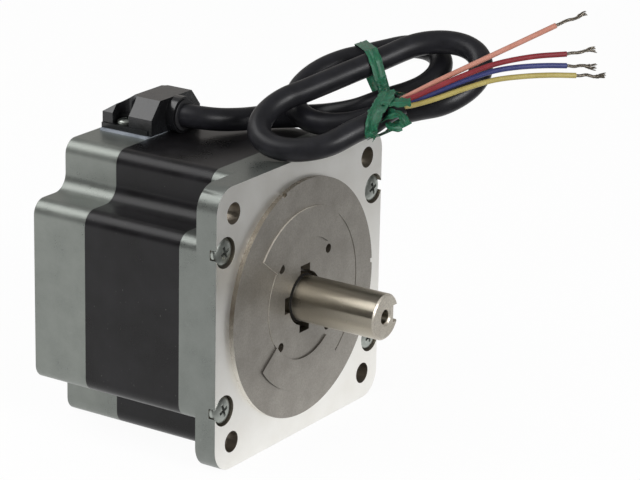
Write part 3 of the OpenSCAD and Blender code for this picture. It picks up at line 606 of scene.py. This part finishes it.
tie = {
    "width": 3.7, "film": 0.16, "wire": 0.42, "gap": 0.16,
    "upper": (14, 0.0, 2, 30), "lower": (22.0, 0.88, -30, -2), "reach": 4.8, "between": 12,
    "opening": 200, "mouth": 0.04, "rings": 73, "bandWave": 0.1, "wave": 0.16,
    "middle": (0.08, 0.16, 0.55), "step": 0.4, "crease": 60,
    # share of a turn, width at the ends and in the middle, route: two neck strands, fan, tail, stub, fold
    "forms": (
        (0.5, 3.6, 2.6, ((14, 5.2, 5.4), (13.9, 3, 5.6), (13.6, 0.2, 6), (13.3, -3, 6.8), (13, -6.6, 9),
            (12.6, -10.5, 12.5))),
        (-0.6, 3.2, 2.4, ((14.4, 4.6, 4.8), (14.2, 2, 5.2), (13.7, -0.6, 6.1), (13.2, -4, 7.4),
            (12.8, -8, 10.2), (12.3, -11.4, 12.9))),
        (0.08, 4.0, 7.4, ((13, -9.2, 12.2), (11.7, -12.2, 13.2), (9.6, -15, 13.5), (7.2, -17.3, 13.3),
            (5.2, -19.5, 12.4), (4.1, -21.2, 10.6), (4.2, -22.6, 8))),
        (0.12, 3.6, 4.6, ((9.8, -14.6, 13.9), (12, -16.4, 14.3), (14.4, -17.8, 14.5), (17.4, -18.6, 14.1))),
        (0.5, 3.4, 3.6, ((8.3, -19, 10.9), (10, -19.6, 12.6), (12, -19.6, 12.8), (13.6, -19.6, 10.4),
            (14.5, -21.2, 7.8))),
        (0.4, 3.2, 3.4, ((8.7, -19.4, 9.5), (10.7, -20.3, 8.2), (13.1, -20.3, 8))),
    ),
}


def bandRing(loop, angles):
    # taut band round the strands that pass through its plane
    around = []
    for a, b in zip(hankLocal[:-1], hankLocal[1:]):
        for k in range(tie["between"]):
            p = a + (b - a) * k / tie["between"]
            if abs(p[0] - loop[0] - loop[1] * p[1]) < tie["reach"] and loop[2] < p[1] < loop[3]:
                around.append(p[1:])
    around = np.array(around)
    points, normals = [], []
    for a in angles:
        n = np.array([cos(a), sin(a)])
        p = around[np.argmax(around @ n)] + (cable["diameter"] / 2 + tie["gap"] + tie["wire"] / 2) * n
        points.append(inHank((loop[0] + loop[1] * p[0], p[0], p[1])))
        normals.append(n[0] * hankAcross + n[1] * hankOut)
    return np.array(points), np.array(normals)


def tieRibbon(points, normals, widths, seed, wave, deepest=-1):
    # film with a wire bead down its middle, its edges crinkled but nowhere below deepest
    rng = np.random.default_rng(seed)
    film, wire = tie["film"] / 2, tie["wire"] / 2
    bead, foot, half = tie["middle"]
    under = [(-1, -film), (-half, -film), (-foot, -film), (-bead, -wire), (bead, -wire), (foot, -film),
             (half, -film), (1, -film)]
    section = under + [(x, -y) for x, y in under[::-1]]
    corners, lay = [], []
    phase = rng.uniform(0, 6, 4)
    for centre, n, h, s, width in zip(points, normals, headings(points), walkedAlong(points), widths):
        side = unit(np.cross(n, h))
        up = np.cross(h, side)
        w = width / 2 * (1 + 0.05 * sin(s * 1.7 + phase[2]))
        for x, y in section:
            ruffle = wave * x * x * (sin(s * 2.3 + phase[0] + x) + 0.6 * sin(s * 4.1 + phase[1]))
            corners.append(centre + side * x * w + up * (y + max(ruffle, deepest)))
            lay.append((x * w * mm, s * mm))
    faces = ringFaces(0, len(points), len(section)) + endFaces(0, len(points), len(section))
    return corners, faces, lay


def buildTie():
    ribbons, opening, mouth = [], radians(tie["opening"]), tie["mouth"]
    ring = np.linspace(opening + mouth, opening + 2 * pi - mouth, tie["rings"])
    for seed, loop in enumerate((tie["upper"], tie["lower"])):
        points, normals = bandRing(loop, ring)
        widths = np.full(len(points), tie["width"])
        ribbons.append(tieRibbon(points, normals, widths, seed + 1, tie["bandWave"], -0.05))
    for seed, (turns, ends, waist, route) in enumerate(tie["forms"]):
        points = smoothRoute([inHank(p) for p in route], tie["step"])
        share = np.linspace(0, 1, len(points))
        base = 0.6 * hankOut + 0.3 * hankAcross
        normals = []
        for s, h in zip(share, headings(points)):
            flat = unit(base - h * np.dot(base, h))
            angle = turns * pi * s
            normals.append(flat * cos(angle) + np.cross(h, flat) * sin(angle))
        widths = ends + (waist - ends) * np.sin(share * pi)
        ribbons.append(tieRibbon(points, normals, widths, seed + 11, tie["wave"]))
    corners, faces, lay = [], [], []
    for places, quads, spots in ribbons:
        faces += [tuple(len(corners) + k for k in quad) for quad in quads]
        corners += places
        lay += spots
    mesh = meshOf("tie_film", [c * mm for c in corners], faces, "tie")
    uv = mesh.uv_layers.new(name="lay")
    for loop in mesh.loops:
        uv.data[loop.index].uv = lay[loop.vertex_index]
    mesh.set_sharp_from_angle(angle=radians(tie["crease"]))
    return mesh


twistTie = newPiece("green_twist_tie", buildTie(), ("twist_tie",))
print("cable, leads and tie laid")


def settleNormals(mesh, limit):
    # big flat faces keep their own direction up to the rim, curved ones blend with their neighbours
    nearby = [[] for _ in mesh.vertices]
    for face in mesh.polygons:
        for corner in face.vertices:
            nearby[corner].append((face.normal.copy(), face.area ** 2))
    closeBy = cos(radians(limit))
    settled = []
    for face in mesh.polygons:
        for corner in face.vertices:
            total = Vector((0, 0, 0))
            for normal, weight in nearby[corner]:
                if normal.dot(face.normal) > closeBy:
                    total += normal * weight
            settled.append(total.normalized() if total.length > 0 else face.normal.copy())
    mesh.shade_smooth()
    mesh.normals_split_custom_set(settled)


def softened(node, name, slot, width, paint):
    # copy of the frame's solid with its sharp edges broken; paint gives each face its finish
    source = cadParts[node]
    mesh = source.data.copy()
    mesh.transform(source.matrix_world)
    mesh.materials.clear()
    order = sorted(paint["finishes"])
    rule = paint.get("rule", lambda at, normal: order[0])
    for key in order:
        mesh.materials.append(finishes[key])
    work = bmesh.new()
    work.from_mesh(mesh)
    bmesh.ops.remove_doubles(work, verts=work.verts, dist=0.002 * mm)
    bmesh.ops.dissolve_limit(work, angle_limit=radians(0.6), verts=work.verts, edges=work.edges)
    work.normal_update()
    for face in work.faces:
        face.material_index = order.index(rule(face.calc_center_median() / mm, face.normal))
    work.to_mesh(mesh)
    work.free()
    for layer in list(mesh.uv_layers):
        mesh.uv_layers.remove(layer)
    mesh.shade_smooth()
    draft = linked(name + "_draft", mesh)
    modified(draft, "BEVEL", width=width * mm, segments=2, limit_method="ANGLE",
             angle_limit=radians(paint.get("angle", 40)))
    made = plainMesh(draft, name)
    for face in made.polygons if "edges" in paint else ():
        key = paint["edges"](face.center / mm, face.normal)
        if key:
            face.material_index = order.index(key)
    settleNormals(made, paint.get("crease", sharpAngle))
    bpy.data.objects.remove(draft)
    return newPiece(name, made, (node,))


# where each finish begins on its piece, in mm and in degrees round the shaft from +X
pads = {"high": -1.1, "reach": (17.5, 29), "inner": 19.6, "outer": 27, "start": 50, "groove": 55, "end": 145,
        "endWall": 142.5, "wallReach": 2.5}
plate = {"front": -0.6, "back": 0.3, "padsEnd": 31, "pilotRoot": -0.2, "pilotRim": 35.5, "bore": 36.4,
         "hole": (34.79, 34.79), "holeReach": 3.4, "screw": (38.6, 24), "screwReach": 5, "side": 42.9,
         "screwFloor": 5}
rearCap = {"bore": 37, "wall": 62}
stator = {"bore": 36.6, "teeth": 36}
spindle = {"journal": 7.1, "journalEnds": (-5, 4), "tip": -28.5, "centreHole": 2}


def padEdge(at, normal):
    # walls and broken edges of the two pads and of the grooves between them: some get a painted highlight,
    # others a painted shadow line
    radius, turn = hypot(at.x, at.z), degrees(atan2(at.z, at.x))
    near, far = pads["reach"]
    if at.y > pads["high"] or normal.y < -0.95 or not near < radius < far:
        return None
    inner, outer, upper = radius < pads["inner"], radius > pads["outer"], turn > 0
    first, groove, last = pads["start"], pads["groove"], pads["end"]
    if abs(turn) > last:
        return "padLight"
    if abs(abs(turn) - pads["endWall"]) < pads["wallReach"] and not outer:
        return "padLight" if upper else "padDark"
    if first < turn < groove and not outer or first < turn < last and inner:
        return "padDark"
    if -last < turn < -first and outer:
        return "padDark"
    return "padLight" if upper and outer and turn > groove else "pilotFace"


def nearSpot(at, spot, reach):
    # close to one of the four spots that mirror each other about the shaft
    return abs(abs(at.x) - spot[0]) < reach and abs(abs(at.z) - spot[1]) < reach


def frontPaint(at, normal):
    radius = hypot(at.x, at.z)
    if normal.y < -0.9 and plate["front"] < at.y < plate["back"]:
        return "milled"
    if normal.y < -0.5 and at.y < plate["front"]:
        return "pilotFace"
    if at.y < pads["high"] and pads["reach"][0] < radius < plate["padsEnd"]:
        return padEdge(at, normal) or "pilotFace"
    if at.y < plate["pilotRoot"] and radius > plate["pilotRim"]:
        return "pilotWall"
    if radius < plate["bore"] or nearSpot(at, plate["hole"], plate["holeReach"]) and abs(normal.y) < 0.9:
        return "bore"
    sunk = abs(at.x) < plate["side"] and at.y < plate["screwFloor"]
    return "bore" if sunk and nearSpot(at, plate["screw"], plate["screwReach"]) else "castFront"


def rearPaint(at, normal):
    return "bore" if hypot(at.x, at.z) < rearCap["bore"] and at.y < rearCap["wall"] else "castRear"


def statorPaint(at, normal):
    radius = hypot(at.x, at.z)
    inside = radius < stator["bore"] and abs(normal.y) < 0.9 or radius < stator["teeth"]
    return "teeth" if inside else "coat"


def shaftPaint(at, normal):
    radius, (first, last) = hypot(at.x, at.z), spindle["journalEnds"]
    # the journal step takes the painted shade finish
    if radius > spindle["journal"] and first < at.y < last:
        return "journal"
    faced = normal.y < -0.3 and at.y < spindle["tip"] and radius > spindle["centreHole"]
    return "shaftEnd" if faced else "shaft"


castings = [
    ("front_flange", "front_flange_cast", "cast_front", 0.22,
     {"finishes": ("milled", "pilotWall", "pilotFace", "bore", "castFront", "padLight", "padDark"),
      "rule": frontPaint, "edges": padEdge}),
    ("rear_cap", "rear_cap_cast", "cast_rear", 0.3, {"finishes": ("castRear", "bore"), "rule": rearPaint}),
    ("stator_laminations", "stator_stack", "stator_black", 0.12,
     {"finishes": ("coat", "teeth"), "rule": statorPaint}),
    ("cable_hood", "cable_hood_moulding", "hood_black", 0.35, {"finishes": ("hood",), "crease": 24}),
    ("hood_gasket", "hood_gasket_rubber", "gasket", 0.12, {"finishes": ("gasket",)}),
    ("cable_grommet", "cable_bushing", "grommet", 0.2, {"finishes": ("bushing",)}),
    ("shaft", "output_shaft", "shaft_steel", 0.2,
     {"finishes": ("shaft", "shaftEnd", "journal"), "rule": shaftPaint, "angle": 30}),
]
outputShaft = [softened(*row) for row in castings][-1]
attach(outputShaft, "rotor")
print("castings, stator, hood and shaft softened")


def patternTree(name, inputs, placed):
    # placed(inputs) gives the points and their turns; the tree ends in real mesh with one finish
    tree = bpy.data.node_groups.new(name, "GeometryNodeTree")
    inHand["tree"] = tree
    kinds = {"Geometry": "Geometry", "Finish": "Material", "Count": "Int"}
    tree.interface.new_socket("Geometry", in_out="OUTPUT", socket_type="NodeSocketGeometry")
    for key in ("Geometry", *inputs, "Finish"):
        tree.interface.new_socket(key, in_out="INPUT", socket_type="NodeSocket" + kinds.get(key, "Float"))
    given = put("NodeGroupInput")
    points, turns = placed(given)
    copies = put("GeometryNodeInstanceOnPoints",
                 {"Points": points, "Instance": given["Geometry"], "Rotation": turns})
    real = put("GeometryNodeRealizeInstances", {"Geometry": copies[0]})
    coated = put("GeometryNodeSetMaterial", {"Geometry": real[0], "Material": given["Finish"]})
    put("NodeGroupOutput", {"Geometry": coated[0]})
    return tree


def rectangleOf(given):
    # four corners, Across and Up from the axis
    grid = put("GeometryNodeMeshGrid",
               {"Size X": times(given["Across"], 2.0), "Vertices X": 2,
                "Size Y": times(given["Up"], 2.0), "Vertices Y": 2})
    stood = put("GeometryNodeTransform", {"Geometry": grid["Mesh"], "Rotation": (pi / 2, 0, 0)})
    return stood[0], None


def pairOf(given):
    # two places, Across to either side of the axis
    start, step = (put("ShaderNodeCombineXYZ", {"X": times(given["Across"], by)})[0]
                   for by in (-1.0, 2.0))
    line = put("GeometryNodeMeshLine", {"Count": 2, "Start Location": start, "Offset": step})
    return line[0], None


def ringOf(given):
    # Count turns round the shaft's axis, from the angle First
    line = put("GeometryNodeMeshLine", {"Count": given["Count"], "Offset": (0, 0, 0)})
    share = reckon("DIVIDE", put("GeometryNodeInputIndex")[0], given["Count"])
    angle = reckon("MULTIPLY_ADD", share, -2 * pi, given["First"])
    return line[0], put("ShaderNodeCombineXYZ", {"Y": angle})[0]


patterns = {
    "corners": patternTree("four corner pattern", ("Across", "Up"), rectangleOf),
    "pair": patternTree("pair pattern", ("Across",), pairOf),
    "ring": patternTree("ring pattern", ("Count", "First"), ringOf),
}


def repeated(name, mesh, pattern, values, finish, nodes):
    draft = linked(name + "_draft", mesh)
    step = modified(draft, "NODES", node_group=patterns[pattern])
    given = {**values, "Finish": finishes[finish]}
    for item in patterns[pattern].interface.items_tree:
        if item.item_type == "SOCKET" and item.in_out == "INPUT" and item.name in given:
            step[item.identifier] = given[item.name]
    made = plainMesh(draft, name)
    bpy.data.objects.remove(draft)
    shaded = made.attributes.get("inRecess")
    if shaded:
        made.materials.append(finishes["recess"])
        for face in made.polygons:
            if shaded.data[face.index].value:
                face.material_index = len(made.materials) - 1
        made.attributes.remove(shaded)
    return newPiece(name, made, nodes)


def revolved(profile, sides):
    # profile of (radius, height) pairs turned round the Z axis
    corners = []
    for r, h in profile:
        corners += circleAt(np.array([0, 0, h]), np.array([1, 0, 0]), np.array([0, -1, 0]), r, sides)
    return corners, [f[::-1] for f in ringFaces(0, len(profile), sides) + endFaces(0, len(profile), sides)]


panHead = {
    "point": 0.3, "pointLength": 0.35, "firstRidge": 0.4, "lastRidge": 0.5, "crest": 0.28, "rim": 0.15,
    "belly": 0.42, "dome": 0.58, "brow": 0.72, "browPower": 2.78, "crown": 0.05, "steps": 10, "sides": 48,
    "cutTop": 1.12, "cutDeep": 0.62, "cutTaper": (0.42, 0.7), "wornRim": 0.05, "rimAngle": 40,
    "shadeOut": 0.1, "shadeDown": 0.12, "crease": 34,
}


def cutterMesh(name, reach, wide, top, low):
    # two crossed bars with sloping walls, that cut the recess
    across, along = panHead["cutTaper"]
    corners, faces = [], []
    for turn in (0, 90):
        start = len(corners)
        for x, y, z in ((reach, wide, top), (reach * across, wide * along, low)):
            corners += [turned(turn, "Z") @ Vector((i * x * mm, k * y * mm, z * mm))
                        for i, k in ((1, 1), (-1, 1), (-1, -1), (1, -1))]
        faces += [f[::-1] for f in ringFaces(start, 2, 4) + endFaces(start, 2, 4)]
    return meshOf(name, corners, faces, smooth=False)


def panScrew(name, size):
    # domed head up at height zero and above, cross recess with sloping walls, ridged shank below
    form = panHead
    r, h, d, length, pitch = size["head"] / 2, size["rise"], size["shank"], size["length"], size["pitch"]
    ridges = int(size["threaded"] / pitch)
    profile = [(d / 2 - form["point"], -length), (d / 2, -length + form["pointLength"])]
    for i in range(ridges):
        low = -length + form["firstRidge"] + i * pitch
        profile += [(d / 2, low), (d / 2 - form["crest"], low + pitch / 2)]
    profile += [(d / 2, -length + form["lastRidge"] + ridges * pitch), (d / 2, 0), (r - form["rim"], 0),
                (r, form["rim"]), (r, h * form["belly"])]
    for k in range(1, form["steps"] + 1):
        a = k / form["steps"] * pi / 2
        profile.append((max(r * cos(a) ** form["brow"], form["crown"]),
                        h * (form["belly"] + form["dome"] * sin(a))))
    corners, faces = revolved([(q * mm, z * mm) for q, z in profile], form["sides"])
    body = linked(name + "_body", meshOf(name, corners, faces, "zinc"))
    reach = size["recess"] / 2
    knife = linked(name + "_cut", cutterMesh(name + "_cut", reach, size["slot"] / 2, h * form["cutTop"],
                                             h - h * form["cutDeep"]))
    modified(body, "BOOLEAN", operation="DIFFERENCE", solver="EXACT", use_self=True, object=knife)
    modified(body, "BEVEL", width=form["wornRim"] * mm, limit_method="ANGLE",
             angle_limit=radians(form["rimAngle"]))
    done = plainMesh(body, name)
    bpy.data.objects.remove(body)
    bpy.data.objects.remove(knife)
    shaded = done.attributes.new("inRecess", "BOOLEAN", "FACE")
    for face in done.polygons:
        out = hypot(face.center.x, face.center.y) / mm
        skin = h * (form["belly"] + form["dome"] * sqrt(max(0.0, 1 - (out / r) ** form["browPower"])))
        inside = out < reach + form["shadeOut"] and 0 < face.center.z / mm < skin - form["shadeDown"]
        shaded.data[face.index].value = inside
    done.shade_smooth()
    done.set_sharp_from_angle(angle=radians(form["crease"]))
    return done


tieScrew = {"head": 8.6, "rise": 2.2, "shank": 4.0, "recess": 4.4, "slot": 1.0, "pitch": 0.7,
            "threaded": 14.0, "across": 38.6, "up": 24.0, "turn": 20}
hoodScrew = {"head": 5.4, "rise": 1.7, "shank": 3.0, "recess": 3.3, "slot": 0.7, "pitch": 0.5,
             "threaded": 4.0, "across": 9.4, "along": 57.5}
low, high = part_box("tie_screws")
tieScrew["length"] = (high[1] - low[1]) / mm - tieScrew["rise"]
screwMesh = panScrew("tie_screw", tieScrew)
screwMesh.transform(Matrix.Translation((0, low[1] + tieScrew["rise"] * mm, 0))
                    @ turned(90, "X") @ turned(tieScrew["turn"], "Z"))
repeated("tie_screws_four", screwMesh, "corners",
         {"Across": tieScrew["across"] * mm, "Up": tieScrew["up"] * mm}, "zinc",
         ("tie_screws",))
low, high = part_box("hood_screws")
hoodScrew["length"] = (high[2] - low[2]) / mm - hoodScrew["rise"]
screwMesh = panScrew("hood_screw", hoodScrew)
screwMesh.transform(Matrix.Translation((0, hoodScrew["along"] * mm, high[2] - hoodScrew["rise"] * mm)))
repeated("hood_screws_pair", screwMesh, "pair", {"Across": hoodScrew["across"] * mm}, "zinc",
         ("hood_screws",))

coils = {"wire": 0.86, "turns": 8, "layers": 4, "from": 27.6, "width": 7.9, "corner": 1.0, "steps": 4,
         "sides": 6, "endBuild": 7.2}
low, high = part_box("phase_a_windings")
coils["middle"] = (low[1] + high[1]) / 2 / mm
coils["length"] = (high[1] - low[1]) / mm - coils["endBuild"]


def coilMesh():
    # layers of turns wound round a pole that points along +X
    corners, faces = [], []
    wire, sides = coils["wire"], coils["sides"]
    for layer in range(coils["layers"]):
        out = wire * (layer + 0.5)
        halfLong, halfWide, curve = coils["length"] / 2 + out, coils["width"] / 2 + out, coils["corner"] + out
        loop, steps = [], coils["steps"]
        for along, over, first in ((1, 1, 0), (-1, 1, 90), (-1, -1, 180), (1, -1, 270)):
            for k in range(steps + 1):
                a = radians(first + k * 90 / steps)
                loop.append((along * (halfLong - curve) + curve * cos(a),
                             over * (halfWide - curve) + curve * sin(a), a))
        for turn in range(coils["turns"] - layer % 2):
            place = coils["from"] + wire * (turn + 0.5 + 0.5 * (layer % 2))
            faces += ringFaces(len(corners), len(loop), sides, closed=True)
            for y, z, a in loop:
                corners += circleAt(np.array([place, coils["middle"] + y, z]), np.array([0, cos(a), sin(a)]),
                                    np.array([-1, 0, 0]), wire / 2, sides)
    return meshOf("one_coil", [c * mm for c in corners], faces, "copperA")


for phase, first, finish in (("a", 0.0, "copperA"), ("b", -pi / 4, "copperB")):
    repeated("windings_phase_" + phase, coilMesh(), "ring", {"Count": 4, "First": first}, finish,
             ("phase_" + phase + "_windings",))
print("screws and windings repeated")

# parts that the frame draws as they are, by finish
keptParts = {
    "ivory": ("front_insulator", "rear_insulator"), "rotorSteel": ("front_rotor_stack", "rear_rotor_stack"),
    "magnet": ("rotor_magnet",), "spring": ("wave_washer",), "innerLead": ("internal_leads",),
    "race": ("front_outer_race", "front_inner_race", "rear_outer_race", "rear_inner_race"),
    "ball": ("front_balls", "rear_balls"), "cage": ("front_cage", "rear_cage"),
    "shield": ("front_shields", "rear_shields"),
}
for finish, names in keptParts.items():
    for part in (cadParts[name] for name in names):
        for holder in part.material_slots:
            holder.material = finishes[finish]
        if not part.material_slots:
            part.data.materials.append(finishes[finish])
print("frame parts finished")

# show is how much of the bench is plain white glow; near, far, tilt and farShare shape its painted reflection
# pool
bench = {"height": -43.0 * mm, "reach": 3.0, "show": 0.95, "near": 0.01, "far": 0.072, "tilt": 0.30,
         "farShare": 0.14}
floorMesh = meshOf("bench_top", [(x * bench["reach"], y * bench["reach"], bench["height"])
                                 for x, y in ((-1, -1), (1, -1), (1, 1), (-1, 1))],
                   [(0, 1, 2, 3)], smooth=False)
finish = bpy.data.materials.new("bench_white")
spot = startTree(finish)["Object"]
rays = put("ShaderNodeLightPath")
seen = reckon("MAXIMUM", rays["Is Camera Ray"],
              reckon("MAXIMUM", rays["Is Glossy Ray"], rays["Is Transmission Ray"]))
paper = speckle(spot, 3, 3)
matte = put("ShaderNodeBsdfDiffuse", {"Color": blend(paper, (226, 226, 224), (232, 232, 230))})
# painted reflection: in glossy rays the bench glows brightest near the motor and dims farther off
away = vectorOf("DOT_PRODUCT", spot, (-bench["tilt"], -1, 0), "Value")
dimmed = spread(away, bench["near"], bench["far"], (0.0, 1.0 - bench["farShare"]))
paintedReflectionPool = reckon("SUBTRACT", 1.0, times(dimmed, rays["Is Glossy Ray"]))
glow = put("ShaderNodeEmission", {"Strength": paintedReflectionPool})
mixed = put("ShaderNodeMixShader", {0: times(seen, bench["show"]), 1: matte[0], 2: glow[0]})
put("ShaderNodeOutputMaterial", {"Surface": mixed[0]})
floorMesh.materials.append(finish)
floor = linked("bench_top", floorMesh)

lamps = [
    {"name": "overheadSoftbox", "at": (-0.40, 0.60, 0.78), "size": (1.1, 0.5), "power": 5.2},
    {"name": "frontPanel", "at": (-0.25, -1.0, 0.45), "size": (0.5, 0.4), "power": 9.0},
    {"name": "leftPanel", "at": (-1.0, 0.15, 0.25), "aim": (0, 0.02, 0), "size": (0.5, 0.5), "power": 5.0,
     "mirrored": False},
]
for lamp in lamps:
    light = bpy.data.lights.new(lamp["name"], "AREA")
    light.shape = "RECTANGLE"
    light.size, light.size_y = lamp["size"]
    light.energy = lamp["power"]
    holder = linked(lamp["name"], light)
    holder.location = lamp["at"]
    aim = Vector(lamp.get("aim", (0, 0, 0))) - Vector(lamp["at"])
    holder.rotation_euler = aim.to_track_quat("-Z", "Y").to_euler()
    holder.visible_glossy = lamp.get("mirrored", True)

sky = bpy.data.worlds.new("studioAir")
scene.world = sky
spot = startTree(sky)["Generated"]
rise = alongAxis(spot, "Z")
rays = put("ShaderNodeLightPath")
soft = blend(spread(rise, 0.0, 0.7), (0.60, 0.60, 0.59, 1), (0.42, 0.42, 0.43, 1))
behind = vectorOf("DOT_PRODUCT", spot, (1, 1, 0), "Value")
mirrored = blend(spread(behind, 0.3, 1.2), (0.05, 0.05, 0.048, 1), (0.46, 0.44, 0.42, 1))
mirrored = blend(spread(rise, 0.5, 0.75), mirrored, (0.30, 0.30, 0.30, 1))
shade = blend(rays["Is Glossy Ray"], soft, mirrored)
seen = reckon("MAXIMUM", rays["Is Camera Ray"], rays["Is Transmission Ray"])
air = put("ShaderNodeBackground", {"Color": blend(seen, shade, (1, 1, 1, 1))})
put("ShaderNodeOutputWorld", {"Surface": air[0]})
print("bench and lamps set")
